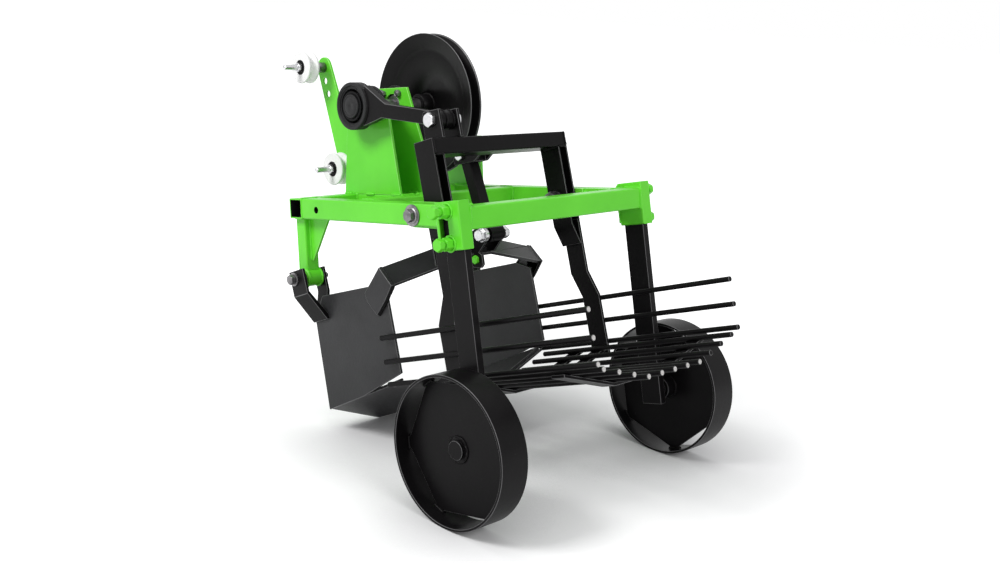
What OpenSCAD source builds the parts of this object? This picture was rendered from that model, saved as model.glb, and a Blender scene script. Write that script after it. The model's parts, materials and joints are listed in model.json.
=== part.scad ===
// Walk-behind potato digger: welded frame on two depth wheels, a trough-shaped share hung from
// the front legs and a rod sieve that an eccentric swings.
// Every piece is drawn with the frame level: x = 0 at mid width, y = 0 at the front face of the
// front tube, z = 0 at the top of the frame. stand() then tips the whole machine forward until it
// rests on both wheels and on the edge of the share.

/* [Frame] */
// How far each side beam's outer face is outside the share's working width
frame_over = 27; // [25:1:40]
// Length from the front tube to the back of the rear beam
frame_l = 530; // [510:5:600]
// Side of the square frame tube
tube = 40; // [36:1:50]
// Wall of the frame tube
tube_t = 3; // [2:0.5:5]
// Front face of the middle cross tube, from the front of the frame
mid_y = 182; // [170:2:220]
// Height of the two rails under the drive tower
rail_s = 30; // [24:1:36]
// Diameter of the hitch hole through both side beams
hitch_d = 13; // [10:0.5:18]
// Distance of the hitch hole from the front of the frame
hitch_y = 88; // [70:2:130]
// Depth of the hitch hole and of the swing pivot below the top of the frame
beam_hole_z = 21; // [18:0.5:24]

/* [Front legs] */
// Side of the square front leg
leg_s = 30; // [26:1:36]
// Distance of the front leg's outer face from the outside of the frame
leg_inset = 13; // [8:1:20]
// Drop from the top of the frame to the share hinge
hanger_drop = 161; // [150:1:200]
// Distance of the share hinge behind the front of the frame
hanger_y = 20; // [16:1:30]
// Outer diameter of the hinge bush
hanger_bush_d = 37; // [32:1:44]
// Length of the hinge bush
hanger_bush_l = 36; // [32:1:44]
// Diameter of the share hinge bolts
hanger_bolt_d = 16; // [12:1:18]

/* [Wheel posts] */
// Depth of the post bar, front to back
post_d = 46; // [40:1:50]
// Thickness of the post bar
post_t = 15; // [12:0.5:16]
// Backward lean of the posts, in degrees
post_lean = 6.1; // [0:0.1:10]
// Distance from the top of the frame down to the axle, along the post
axle_drop = 405; // [370:5:440]
// Height of the sleeve above the top of the frame
sleeve_up = 13; // [8:1:20]
// Height of the sleeve below the top of the frame
sleeve_down = 71; // [66:1:90]
// Wall of the sleeve
sleeve_t = 3; // [2:0.5:5]
// Diameter of the clamp bolts
clamp_d = 16; // [12:1:18]

/* [Wheels] */
// Wheel diameter
wheel_d = 268; // [240:2:300]
// Wheel width
wheel_w = 60; // [50:1:80]
// Thickness of the wheel rim
rim_t = 5; // [3:0.5:8]
// Axle diameter
axle_d = 20; // [16:1:25]
// Outer diameter of the wheel hub
hub_d = 44; // [38:1:60]

/* [Drive tower] */
// Height of the tower plates above the frame
tower_h = 213; // [205:1:240]
// Length of the upright plate beside the pulley
guard_l = 110; // [100:1:116]
// Height of the upright plate beside the pulley
guard_h = 108; // [100:1:112]
// Length of the near tower plate along the frame
tower_l = 178; // [168:1:182]
// Thickness of the tower plates
tower_t = 6; // [4:0.5:8]
// Left face of the near tower plate, from mid width
tower_x = 86; // [80:1:90]
// Distance over the two tower plates
tower_w = 70; // [64:1:76]
// Height of the drive shaft above the frame
shaft_z = 178; // [174:1:184]
// Distance of the drive shaft behind the front of the frame
shaft_y = 88; // [84:1:96]
// Drive shaft diameter
shaft_d = 25; // [20:1:30]
// Pulley diameter
pulley_d = 294; // [250:2:300]
// Width of the pulley over its rim
pulley_w = 30; // [26:1:34]
// Right end of the drive shaft, from mid width
shaft_end = 100; // [98:1:120]

/* [Eccentric drive] */
// Offset of the eccentric from the shaft
throw = 3.5; // [2:0.25:3.5]
// Outer diameter of the big-end housing
big_end_d = 94; // [90:1:104]
// Width of the big-end housing
big_end_w = 26; // [24:1:30]
// Height of the connecting bar
rod_h = 28; // [24:1:34]
// Thickness of the connecting bar
rod_t = 16; // [10:1:20]
// Diameter of the small-end bolt
small_bolt_d = 16; // [12:1:18]

/* [Swing frame] */
// Distance of the swing pivot behind the front of the frame
swing_y = 376; // [370:1:390]
// Forward lean of the swing frame, in degrees
swing_lean = 11.4; // [8:0.1:13]
// Depth of the swing legs, front to back
swing_d = 50; // [46:1:56]
// Thickness of the swing legs
swing_t = 25; // [20:1:28]
// Height of the top of the swing frame above its pivot
swing_up = 132; // [124:1:150]
// Height of the crossbar
crossbar_h = 30; // [26:1:40]
// Height of the small-end bolt above the crossbar
small_end_up = 36.5; // [34:0.5:46]
// Diameter of the swing pivot bolts
swing_bolt_d = 20; // [16:1:22]
// Distance from the link pin forward to the swing pivot line
link_pin_u = 70; // [66:1:74]

/* [Sieve] */
// Diameter of the sieve rods
rod_d = 10; // [8:0.5:12]
// Number of bottom rods
rod_n = 11; // [7:2:15]
// Distance of the outermost bottom rods inside the share's working width
rod_inset = 20; // [16:1:40]
// Length of the bottom rods
bottom_l = 477; // [440:1:478]
// Length of the side rods
side_l = 519; // [460:1:525]
// Upward slope of the rods towards the back, in degrees
sieve_slope = 11.3; // [8:0.1:14]
// Distance of the rods' rear ends behind the front of the frame
sieve_end_y = 780; // [775:1:800]
// Drop of the middle rods' rear ends below the frame
sieve_end_drop = 288; // [280:1:300]
// Width of the flat legs of the sieve
sieve_leg_w = 44; // [40:1:46]

/* [Share] */
// Working width of the share over its side plates
share_w = 400; // [380:2:402]
// Thickness of the side plates
side_t = 6; // [4:0.5:8]
// Thickness of the blade
blade_t = 6; // [4:0.5:8]
// Length of the blade along its slope
blade_l = 251; // [230:1:252]
// Upward slope of the blade, in degrees
blade_slope = 21.5; // [18:0.1:23]
// Drop of the blade's front edge below the frame
blade_drop = 474; // [465:1:490]
// Width of the blade's flat bottom
blade_flat = 150; // [120:2:200]
// Rise of the blade's sides for each millimetre of width
blade_rise = 0.36; // [0.25:0.01:0.4]
// Width of the arch bar
arch_w = 46; // [40:1:50]
// Diameter of the link bolt in the arch ears
link_bolt_d = 14; // [12:0.5:16]

/* [Tensioner] */
// Diameter of the belt rollers
roller_d = 68; // [60:1:72]
// Width of the belt rollers
roller_w = 28; // [24:1:32]
// Diameter of the roller bolts
roller_bolt_d = 12; // [10:0.5:14]

/* [Hidden] */
$fn = 64;

green = [0.36, 0.83, 0.22];
black = [0.13, 0.13, 0.14];
zinc = [0.74, 0.74, 0.76];
plastic = [0.93, 0.93, 0.91];

// Clearances
run_fit = 0.05;     // radial play of a shaft or pin in its bush
loose_fit = 0.5;    // radial play at the link's lower bolt
hole_fit = 0.15;    // radial play of a bolt in a clearance hole
gap = 0.3;          // play between pieces that slide or turn past each other

// Frame
half_w = share_w / 2 + frame_over;
beam_in = half_w - tube;
rear_over = 3;                       // the rear beam reaches past each side beam
swing_pivot = [swing_y, -beam_hole_z];
doubler_t = 6;
doubler_l = 92;
doubler_lip = 8;

// Front legs
leg_x1 = half_w - leg_inset;
leg_x0 = leg_x1 - leg_s;
leg_mid = (leg_x0 + leg_x1) / 2;
hanger = [hanger_y, -hanger_drop];
bush_x0 = leg_mid - hanger_bush_l / 2;
bush_x1 = leg_mid + hanger_bush_l / 2;
gusset_t = 6;
gusset_l = 62;

// Sleeves and posts, in the leaning frame whose origin is the rear top edge of the frame
sleeve_x0 = half_w + rear_over;
post_x0 = sleeve_x0 + sleeve_t + gap;
post_x1 = post_x0 + post_t;
post_play = 7;                       // room beside the post for the clamp bolts to close
sleeve_x1 = post_x1 + post_play + sleeve_t;
post_margin = 3;
sleeve_d = post_d + 2 * (sleeve_t + post_margin) + 2;
post_u1 = -(sleeve_t + post_margin);
post_u0 = post_u1 - post_d;
post_mid = (post_u0 + post_u1) / 2;
post_foot = 26;                      // the post's length past the axle
clamp_nut_h = 12;
clamp_neck = 9;
clamp_w = [-4, 12 - sleeve_down];    // heights of the two clamp bolts
sleeve_corner = [frame_l, 0];
wheel_c = place(sleeve_corner, post_lean, [post_mid, -axle_drop]);

// Wheels
wheel_x1 = post_x1 + 73.7;
wheel_x0 = wheel_x1 - wheel_w;
hub_x0 = post_x1 + 13.7;
hub_l = 32;
hub_x1 = hub_x0 + hub_l;
cap_h = 6;
web_t = 5;
rim_in = wheel_d / 2 - rim_t;
web_x0 = hub_x1 - 7;

// Drive
tower_x0 = tower_x - tower_w;
shaft = [shaft_y, shaft_z];
big_end = [shaft_y + throw, shaft_z];
near_in = tower_x - tower_t;
far_in = tower_x0 + tower_t;
flange_t = 16;
ring_out = 3;                        // the inner rings stand proud of the housings
ring_d = shaft_d + 15;
bearing_bolt_d = 10;
boss_d = ring_d + 10;
bearing_bolt_r = boss_d / 2 + 8.2;
flange_d = 2 * bearing_bolt_r + 14;
ecc_d = shaft_d + 15;
big_x0 = tower_x + 19;
big_x1 = big_x0 + big_end_w;
race_t = 7;
race_in = ecc_d / 2 + race_t;
outer_in = race_in + 2 * throw + gap;
outer_out = big_end_d / 2 - race_t;
cap_r = ecc_d / 2 + 3.5;
pulley_x = big_x0 - 182;
sheet_t = 3;

// Swing frame, in the leaning frame whose origin is its pivot
swing_x1 = beam_in - 9;
swing_x0 = swing_x1 - swing_t;
swing_u0 = 6 - swing_d / 2;
swing_u1 = 6 + swing_d / 2;
swing_wall = 3;
swing_foot = 95;
swing_taper = 41;
bar_w0 = swing_up - crossbar_h;
small_end_u = 8.5;
small_end = place(swing_pivot, swing_lean, [small_end_u, swing_up + small_end_up]);
rod_len = norm(small_end - big_end);
rod_lean = atan2(small_end.y - big_end.y, small_end.x - big_end.x);
rod_x0 = (big_x0 + big_x1 - rod_t) / 2;
ear_t = 6;
ear_x0 = (big_x0 + big_x1) / 2 - 19;
ear_x1 = ear_x0 + 51;
pivot_bush_d = swing_bolt_d + 14;
link_pin_d = 12;
link_top = place(swing_pivot, swing_lean, [-link_pin_u, bar_w0 + 10]);
link_s = 25;
link_set = 12;                       // the link's bar stands this far forward of its lower bolt

// Sieve, in the sloping frame whose origin is the rear end of the middle rods
sieve_end = [sieve_end_y, -sieve_end_drop];
leg_t = 6;
leg_top = place(swing_pivot, swing_lean, [0, -46]);
sieve_lean = swing_lean;
knee_x = swing_x1 - leg_t / 2;       // each flat leg carries on the swing leg's outer flange
foot_x = share_w / 2 + 0.5 - leg_t / 2;
knee_w = -105;
ankle_w = -156;
foot_w = -276;
side_rod_x = foot_x + leg_t / 2 + rod_d / 2;
side_rod_w = [42, 85, 131];
side_rod_out = 9;                    // the side rods spread towards the front
sieve_flat = 75;
sieve_rise = 0.3;
sieve_bar_v = [-396, -333, -90];
sieve_bar_l = 30;
sieve_bar_t = 6;

// Share
edge = [59, -blade_drop];
blade_in = share_w / 2 - side_t;
comb_t = 5;
comb_l = 30;
comb_out = 8;
arch_t = 8;
arch_lean = 49.3;
arch_c = [262, -145];
arch_rise = 54;
arch_flat = 56;
ear_in = 18;
link_low = [349, -76.5];
tie = [324, -126];
tie_d = 10;

// Tensioner
arm_x1 = far_in;
arm_x0 = tower_x0;
upper_pin = [-137, 266];
lower_pin = [-43, 50];
roller_x0 = arm_x1 + 35;
pin_end = roller_x0 + roller_w + 42;

// Stance: the angle at which both wheels and the share's edge reach the ground
fall = edge.y - wheel_c.y;
reach = edge.x - wheel_c.x;
tip_angle = atan2(reach, fall) + acos(-wheel_d / 2 / norm([fall, reach]));
ground = turn(edge, tip_angle).y;
front_end = turn(upper_pin, tip_angle).x - roller_d / 2;
rear_end = turn(sieve_end, tip_angle).x + rod_d / 2 * sin(tip_angle + sieve_slope);
mid_length = (front_end + rear_end) / 2;

function turn(p, a) = [p.x * cos(a) - p.y * sin(a), p.x * sin(a) + p.y * cos(a)];
function place(o, a, p) = o + turn(p, a);
function head_af(d) = 1.5 * d;
function head_h(d) = 0.63 * d;
function nut_h(d) = 0.8 * d;
function trough(x, flat, rise) = max(0, abs(x) - flat) * rise;

module stand() {
    translate([0, -mid_length, -ground]) rotate([tip_angle, 0, 0]) children();
}
module at(p, a = 0) { translate([0, p.x, p.y]) rotate([a, 0, 0]) children(); }
module both() { children(); mirror([1, 0, 0]) children(); }
module left_or_right(s) { if (s > 0) children(); else mirror([1, 0, 0]) children(); }
// A (y, z) outline made t thick along X from x
module plate_x(x, t) { translate([x, 0, 0]) rotate([90, 0, 90]) linear_extrude(t) children(); }
// An (x, z) outline made l long along Y from y
module bar_y(y, l) { translate([0, y + l, 0]) rotate([90, 0, 0]) linear_extrude(l) children(); }
module pin_x(x0, x1, d) { translate([x0, 0, 0]) rotate([0, 90, 0]) cylinder(d = d, h = x1 - x0); }
module hex_x(x, h, af) {
    translate([x, 0, 0]) rotate([0, 90, 0]) cylinder(d = af / cos(30), h = h, $fn = 6);
}
module ring_x(x0, x1, od, id) {
    difference() { pin_x(x0, x1, od); pin_x(x0 - 1, x1 + 1, id); }
}
module nut_x(x, h, d) {
    difference() { hex_x(x, h, head_af(d)); pin_x(x - 1, x + h + 1, d + 2 * hole_fit); }
}
module box(x0, x1, y0, y1, z0, z1) {
    translate([x0, y0, z0]) cube([x1 - x0, y1 - y0, z1 - z0]);
}
module tube_x(x0, x1, y0, y1, z0, z1, t) {
    difference() {
        box(x0, x1, y0, y1, z0, z1);
        box(x0 - 1, x1 + 1, y0 + t, y1 - t, z0 + t, z1 - t);
    }
}
module tube_y(x0, x1, y0, y1, z0, z1, t) {
    difference() {
        box(x0, x1, y0, y1, z0, z1);
        box(x0 + t, x1 - t, y0 - 1, y1 + 1, z0 + t, z1 - t);
    }
}
module tube_z(x0, x1, y0, y1, z0, z1, t) {
    difference() {
        box(x0, x1, y0, y1, z0, z1);
        box(x0 + t, x1 - t, y0 + t, y1 - t, z0 - 1, z1 + 1);
    }
}

// Frame

module front_cross_tube() { color(green) stand() tube_x(-half_w, half_w, 0, tube, -tube, 0, tube_t); }
// A sleeve inside each side beam keeps the hitch bolt from crushing it
module side_beam(s) {
    color(green) stand() left_or_right(s) difference() {
        union() {
            tube_y(beam_in, half_w, tube, frame_l - tube, -tube, 0, tube_t);
            at([hitch_y, -beam_hole_z]) pin_x(beam_in, half_w, hitch_d + 2 * tube_t);
        }
        at([hitch_y, -beam_hole_z]) pin_x(beam_in - 1, half_w + 1, hitch_d);
        at(swing_pivot) pin_x(beam_in - 1, half_w + 1, swing_bolt_d + 2 * hole_fit);
    }
}
module side_beam_left() { side_beam(1); }
module side_beam_right() { side_beam(-1); }
module rear_cross_beam() {
    color(green) stand()
        tube_x(-sleeve_x0, sleeve_x0, frame_l - tube, frame_l, -tube, 0, tube_t);
}
module mid_cross_tube() {
    color(green) stand() tube_x(-beam_in, beam_in, mid_y, mid_y + tube, -tube, 0, tube_t);
}
module tower_rails() {
    color(green) stand() for (x = [tower_x - rail_s, tower_x0])
        tube_y(x, x + rail_s, tube, mid_y, -rail_s, 0, tube_t);
}
module pivot_doublers() {
    color(green) stand() both() difference() {
        box(beam_in - doubler_t, beam_in, swing_y - doubler_l / 2, swing_y + doubler_l / 2,
            -tube - doubler_lip, 0);
        at(swing_pivot) pin_x(beam_in - doubler_t - 1, beam_in + 1, swing_bolt_d + 2 * hole_fit);
    }
}
module front_legs() {
    color(green) stand() both() difference() {
        tube_z(leg_x0, leg_x1, 0, leg_s, hanger.y + hanger_bush_d / 5, -tube, tube_t);
        at(hanger) pin_x(leg_x0 - 1, leg_x1 + 1, hanger_bush_d);
    }
}
module front_leg_gussets() {
    low = hanger.y + hanger_bush_d / 2 + 16;
    color(green) stand() both() plate_x(leg_mid - gusset_t / 2, gusset_t)
        polygon([[leg_s, -tube], [leg_s + gusset_l, -tube], [leg_s + 5, low], [leg_s, low]]);
}
module hanger_bushes() {
    color(green) stand() both()
        at(hanger) ring_x(bush_x0, bush_x1, hanger_bush_d, hanger_bolt_d + 2 * run_fit);
}
module post_sleeves() {
    window_h = 34;
    color(green) stand() both() at(sleeve_corner, post_lean) difference() {
        tube_z(sleeve_x0, sleeve_x1, -sleeve_d, 0, -sleeve_down, sleeve_up, sleeve_t);
        box(sleeve_x1 - sleeve_t - 1, sleeve_x1 + 1, post_u0, post_mid, -16 - window_h, -16);
        for (w = clamp_w) at([post_mid, w]) pin_x(sleeve_x1 - sleeve_t - 1, sleeve_x1 + 1,
            clamp_d + 2 * hole_fit);
    }
}
module sleeve_bolts() {
    head_x = sleeve_x1 + clamp_nut_h + clamp_neck;
    color(green) stand() both() at(sleeve_corner, post_lean)
        for (w = clamp_w) at([post_mid, w]) {
            pin_x(post_x1 + gap, head_x, clamp_d);
            hex_x(head_x, head_h(clamp_d), head_af(clamp_d));
        }
}
module sleeve_nuts() {
    color(green) stand() both() at(sleeve_corner, post_lean)
        for (w = clamp_w) at([post_mid, w]) nut_x(sleeve_x1, clamp_nut_h, clamp_d);
}

// Drive tower

front_lean = 28;                     // the tower's front edge leans back by this much
module tower_outline(rear) { polygon(concat([[0, 0]], rear, [[front_lean, tower_h]])); }
module bearing_holes() {
    for (a = [45 : 90 : 315]) rotate(a) translate([bearing_bolt_r, 0])
        circle(d = bearing_bolt_d + 2 * hole_fit);
}
module tower_plate(x, rear) {
    color(green) stand() plate_x(x, tower_t) difference() {
        tower_outline(rear);
        translate(shaft) { circle(d = ring_d + 6); bearing_holes(); }
    }
}
module tower_near_plate() {
    tower_plate(near_in, [[tower_l, 0], [tower_l - 30, tower_h - 38], [tower_l - 43, tower_h - 28],
        [70, tower_h]]);
}
module tower_far_plate() {
    tower_plate(tower_x0, [[tower_l + 2, 0], [tower_l - 3, tower_h - 110],
        [tower_l - 43, tower_h]]);
}
module tower_web() {
    t = tower_t;
    color(green) stand() plate_x(far_in, near_in - far_in)
        polygon([[0, 0], [t, 0], [front_lean + t, tower_h], [front_lean, tower_h]]);
}
// An upright plate on the right side beam, beyond the pulley
module guard_plate() {
    color(green) stand() plate_x(-(beam_in + half_w + tower_t) / 2, tower_t)
        polygon([[0, 0], [guard_l, 0], [guard_l, guard_h], [guard_l - 46, guard_h],
            [0, guard_h - 58]]);
}
// The near bearing sits inside the tower and the far one outside it
module bearing_places() {
    translate([near_in, 0, 0]) mirror([1, 0, 0]) children();
    translate([tower_x0, 0, 0]) mirror([1, 0, 0]) children();
}
module bearing_housings() {
    color(black) stand() at(shaft) bearing_places() difference() {
        union() {
            plate_x(0, flange_t / 2) difference() { circle(d = flange_d); bearing_holes(); }
            pin_x(0, flange_t, boss_d);
        }
        pin_x(-1, flange_t + 1, ring_d + 2 * run_fit);
    }
}
module bearing_bolts() {
    d = bearing_bolt_d;
    color(zinc) stand() at(shaft) bearing_places()
        for (a = [45 : 90 : 315]) rotate([a, 0, 0]) translate([0, bearing_bolt_r, 0]) {
            pin_x(-tower_t - nut_h(d) - 1, flange_t / 2, d);
            hex_x(flange_t / 2, head_h(d) - 1, head_af(d) - 2);
            difference() {
                hex_x(-tower_t - nut_h(d), nut_h(d), head_af(d) - 2);
                pin_x(-tower_t - nut_h(d) - 1, 0, d);
            }
        }
}
module tension_arm() {
    arm_r = 22;
    d = roller_bolt_d + 2 * hole_fit;
    color(green) stand() plate_x(arm_x0, arm_x1 - arm_x0) difference() {
        union() {
            translate(upper_pin) circle(r = arm_r);
            translate(lower_pin) circle(r = arm_r);
            polygon([upper_pin + [-arm_r, -5], [-107, 79], lower_pin + [-arm_r, 0],
                lower_pin + [0, -arm_r], [front_lean * 28 / tower_h, 28],
                [front_lean * 140 / tower_h, 140], [-65, 132], upper_pin + [arm_r, 5]]);
        }
        translate(upper_pin) circle(d = d);
        translate(lower_pin) circle(d = d);
        for (p = [[1, -29], [9.5, -57]]) translate(upper_pin + p) circle(d = 15);
    }
}
module roller_pins() { at(upper_pin) children(); at(lower_pin) children(); }
module roller_bolts() {
    d = roller_bolt_d;
    x = roller_x0 + roller_w + gap;
    color(zinc) stand() roller_pins() {
        pin_x(arm_x0 - 3, pin_end, d);
        hex_x(arm_x0 - head_h(d), head_h(d), head_af(d));
        difference() {
            hex_x(x, nut_h(d), head_af(d));
            pin_x(x - 1, x + nut_h(d) + 1, d);
        }
    }
}
module roller_spacers() {
    color(zinc) stand() roller_pins()
        ring_x(arm_x1, roller_x0 - gap, roller_bolt_d + 10, roller_bolt_d + 2 * hole_fit);
}
module roller(p) {
    flange = roller_w / 5;
    groove = roller_d / 2 - 9;
    color(plastic) stand() at(p) translate([roller_x0, 0, 0]) rotate([0, 90, 0]) rotate_extrude()
        polygon([[roller_bolt_d / 2 + run_fit, 0], [roller_d / 2 - 2, 0], [roller_d / 2, 2],
            [roller_d / 2, flange], [groove, roller_w / 2 - 2], [groove, roller_w / 2 + 2],
            [roller_d / 2, roller_w - flange], [roller_d / 2, roller_w - 2],
            [roller_d / 2 - 2, roller_w], [roller_bolt_d / 2 + run_fit, roller_w]]);
}
module upper_roller() { roller(upper_pin); }
module lower_roller() { roller(lower_pin); }

// Swing pivot fasteners, fixed to the frame

washer_t = 3;
pivot_bush_x0 = swing_x0 - 3;
module swing_pivot_bolts() {
    d = swing_bolt_d;
    nut_x0 = pivot_bush_x0 - gap - nut_h(d);
    color(zinc) stand() both() at(swing_pivot) {
        ring_x(half_w, half_w + washer_t, 2 * d, d + 2 * hole_fit);
        pin_x(nut_x0 - 4, half_w + washer_t, d);
        hex_x(half_w + washer_t, head_h(d), head_af(d));
        difference() {
            hex_x(nut_x0, nut_h(d), head_af(d));
            pin_x(nut_x0 - 1, pivot_bush_x0, d);
        }
    }
}
// Drive shaft

module drive_shaft() {
    color(zinc) stand() at(shaft) difference() {
        pin_x(-shaft_end, big_x1 - 3, shaft_d);
        box(-shaft_end - 1, pulley_x + 20, -3, 3, shaft_d / 2 - 3, shaft_d);
    }
}
module bearing_inner_rings() {
    color(zinc) stand() at(shaft) bearing_places()
        ring_x(-ring_out, flange_t + ring_out, ring_d, shaft_d);
}
module eccentric() {
    color(black) stand() difference() {
        at(big_end) pin_x(big_x0, big_x1 - 3, ecc_d);
        at(shaft) pin_x(big_x0 - 1, big_x1, shaft_d);
    }
}
module big_end_inner_ring() {
    color(zinc) stand() at(big_end) ring_x(big_x0 + 3, big_x1 - 3, 2 * race_in, ecc_d);
}
module eccentric_cap() { color(black) stand() at(big_end) pin_x(big_x1 - 3, big_x1 + 2, 2 * cap_r); }
module pulley() {
    r = pulley_d / 2;
    flare_r = 0.79 * r;
    flare = pulley_w / 2 - sheet_t;
    color(black) stand() at(shaft) translate([pulley_x, 0, 0]) rotate([0, 90, 0]) rotate_extrude($fn = 96)
        for (s = [-1, 1]) polygon([[hub_d / 2, 0], [flare_r, 0], [r, s * flare],
            [r, s * (flare + sheet_t)], [flare_r - 1, s * sheet_t], [hub_d / 2, s * sheet_t]]);
}
module pulley_hub() {
    color(black) stand() at(shaft) difference() {
        pin_x(pulley_x - 15, pulley_x + 30, hub_d);
        pin_x(pulley_x - 16, pulley_x + 31, shaft_d);
    }
}

// Connecting rod, drawn along Y from the big-end centre

module conrod() {
    r = big_end_d / 2;
    h = rod_h / 2;
    eye = small_bolt_d / 2 + 9;
    color(black) stand() at(big_end, rod_lean) plate_x(rod_x0, rod_t) difference() {
        polygon([[r * 0.7, r * 0.94], [1.9 * r, h + 4], [2.1 * r, h], [rod_len, h - 1],
            [rod_len, 1 - h], [1.9 * r, -h], [r * 0.76, -r * 0.76]]);
        circle(d = big_end_d);
        translate([rod_len, 0]) circle(r = eye);
    }
}
module big_end_housing() {
    color(black) stand() at(big_end) ring_x(big_x0, big_x1, big_end_d, 2 * outer_out);
}
module big_end_outer_ring() {
    color(zinc) stand() at(big_end) ring_x(big_x0 + 3, big_x1 - 3, 2 * outer_out, 2 * outer_in);
}
module small_end_bush() {
    color(black) stand() at(small_end) ring_x(ear_x0 + ear_t + gap, ear_x1 - ear_t - gap,
        small_bolt_d + 18, small_bolt_d + 2 * run_fit);
}

// Swing frame

module swing() { stand() at(swing_pivot, swing_lean) children(); }
// Channels open to the rear, whose inner flanges bend out at the bottom to meet the sieve's legs
module swing_legs() {
    t = swing_wall;
    low = -swing_foot;
    leg = swing_x1 - leg_t;
    color(black) swing() both() difference() {
        bar_y(swing_u0, swing_d) polygon([[swing_x0, bar_w0], [swing_x1 - t, bar_w0],
            [swing_x1 - t, swing_up], [swing_x1, swing_up], [swing_x1, low], [leg - t, low],
            [swing_x0, low + swing_taper]]);
        bar_y(swing_u0 + t, swing_d) polygon([[swing_x0 + t, bar_w0 + 1],
            [swing_x1 - t, bar_w0 + 1], [swing_x1 - t, -46], [swing_x1 + 1, -46],
            [swing_x1 + 1, low - 1], [leg, low - 1], [leg, low], [swing_x0 + t, low + swing_taper]]);
        pin_x(swing_x0 - 1, swing_x1 + 1, pivot_bush_d);
    }
}
module swing_crossbar() {
    color(black) swing()
        tube_x(swing_wall - swing_x1, swing_x1 - swing_wall, swing_u0, swing_u1, bar_w0, swing_up,
            swing_wall);
}
module swing_pivot_bushes() {
    color(black) swing() both()
        ring_x(pivot_bush_x0, beam_in - doubler_t - gap, pivot_bush_d, swing_bolt_d + 2 * run_fit);
}
module small_end_ears() {
    h = small_end_up;
    color(black) swing() for (x = [ear_x0, ear_x1 - ear_t]) plate_x(x, ear_t)
        translate([0, swing_up]) difference() {
            polygon([[swing_u0 + 1, 0], [swing_u1, 0], [swing_u1, h + 16], [-10, h + 19],
                [-15, h + 13]]);
            translate([small_end_u, h]) circle(d = small_bolt_d + 2 * hole_fit);
        }
}
module small_end_bolt() {
    color(zinc) stand() at(small_end) cross_bolt(ear_x0, ear_x1, small_bolt_d);
}
// Two cheeks on the front of the crossbar that hold the top of the link
module link_bracket() {
    u = swing_u0;
    w = bar_w0;
    x = link_s / 2 + 1;
    color(black) swing() {
        for (x0 = [x, -x - tower_t]) plate_x(x0, tower_t) difference() {
            polygon([[u - 73, w - 5], [u - 17, w - 8], [u, w + 1], [u, w + 24], [u - 66, w + 24],
                [u - 73, w + 16]]);
            translate([-link_pin_u, w + 10]) circle(d = link_pin_d + 2 * hole_fit);
        }
        box(-x, x, u - 23, u - 17, w - 8, w + 6);
    }
}
module link_pin() {
    x = link_s / 2 + 1 + tower_t;
    color(zinc) stand() at(link_top) cross_bolt(-x, x, link_pin_d);
}

// Sieve: flat legs below the swing legs, side rods outside them and bottom rods on bent bars

module sieve_legs() {
    t = leg_t / 2;
    color(black) stand() both() at(leg_top, sieve_lean) bar_y(swing_u1 - sieve_leg_w, sieve_leg_w)
        polygon([[knee_x - t, 0], [knee_x + t, 0], [knee_x + t, knee_w], [foot_x + t, ankle_w],
            [foot_x + t, foot_w], [foot_x - t, foot_w], [foot_x - t, ankle_w - 2],
            [knee_x - t, knee_w - 2]]);
}
module sieve() { stand() at(sieve_end, sieve_slope) children(); }
function sieve_z(x) = trough(x, sieve_flat, sieve_rise);
module side_rods() {
    lean = atan(side_rod_out / (side_l - 190));
    v = -312;    // the rear edge of the sieve legs, where the rods touch them
    color(black) sieve() both() for (w = side_rod_w) translate([side_rod_x, v, w])
        rotate([90, 0, 0]) rotate([0, lean, 0]) translate([0, 0, v - 5])
            cylinder(d = rod_d, h = side_l);
}
module bottom_rods() {
    x1 = share_w / 2 - rod_inset;
    step = 2 * x1 / (rod_n - 1);
    color(black) sieve() for (k = [0 : rod_n - 1]) let (x = k * step - x1)
        translate([x, 0, sieve_z(x)]) rotate([90, 0, 0]) cylinder(d = rod_d, h = bottom_l);
}
module sieve_bars() {
    x1 = foot_x - leg_t / 2;
    r = rod_d / 2 * sqrt(1 + sieve_rise * sieve_rise);
    top = sieve_z(x1);
    color(black) sieve() for (v = sieve_bar_v) bar_y(v - sieve_bar_l / 2, sieve_bar_l)
        translate([0, -r]) polygon([[-x1, top], [-sieve_flat, 0], [sieve_flat, 0], [x1, top],
            [x1, top - sieve_bar_t], [sieve_flat, -sieve_bar_t], [-sieve_flat, -sieve_bar_t],
            [-x1, top - sieve_bar_t]]);
}

// Share

module blade_outline(t, x1) {
    f = blade_flat / 2;
    top = trough(x1, f, blade_rise) * cos(blade_slope);
    polygon([[-x1, top], [-f, 0], [f, 0], [x1, top], [x1, top + t], [f, t], [-f, t], [-x1, top + t]]);
}
blade_end_y = edge.x + blade_l * cos(blade_slope);
blade_side = trough(blade_in, blade_flat / 2, blade_rise);
function blade_z(y) = edge.y + blade_side + (y - edge.x) * tan(blade_slope);
module share_sides() {
    color(black) stand() both() plate_x(blade_in, side_t)
        polygon([[29, -250], [55, -197], [215, -164], [258, -172], [290, -325],
            [174, blade_z(174)], [edge.x, blade_z(edge.x)]]);
}
module share_blade() {
    color(black) stand() intersection() {
        at(edge, blade_slope) bar_y(-60, blade_l + 60) blade_outline(blade_t, blade_in);
        box(-half_w, half_w, edge.x, blade_end_y + tube, 2 * edge.y, 0);
    }
}
// A slotted bar under the back edge of the blade
module share_comb() {
    slot = 8;
    pitch = 30;
    color(black) stand() at(edge, blade_slope) difference() {
        bar_y(blade_l - comb_l + comb_out, comb_l) translate([0, -comb_t])
            blade_outline(comb_t, blade_in);
        for (x = [-6 * pitch : pitch : 6 * pitch])
            box(x - slot / 2, x + slot / 2, blade_l + 1, blade_l + comb_out - 2, -20, tube + 20);
    }
}
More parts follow.
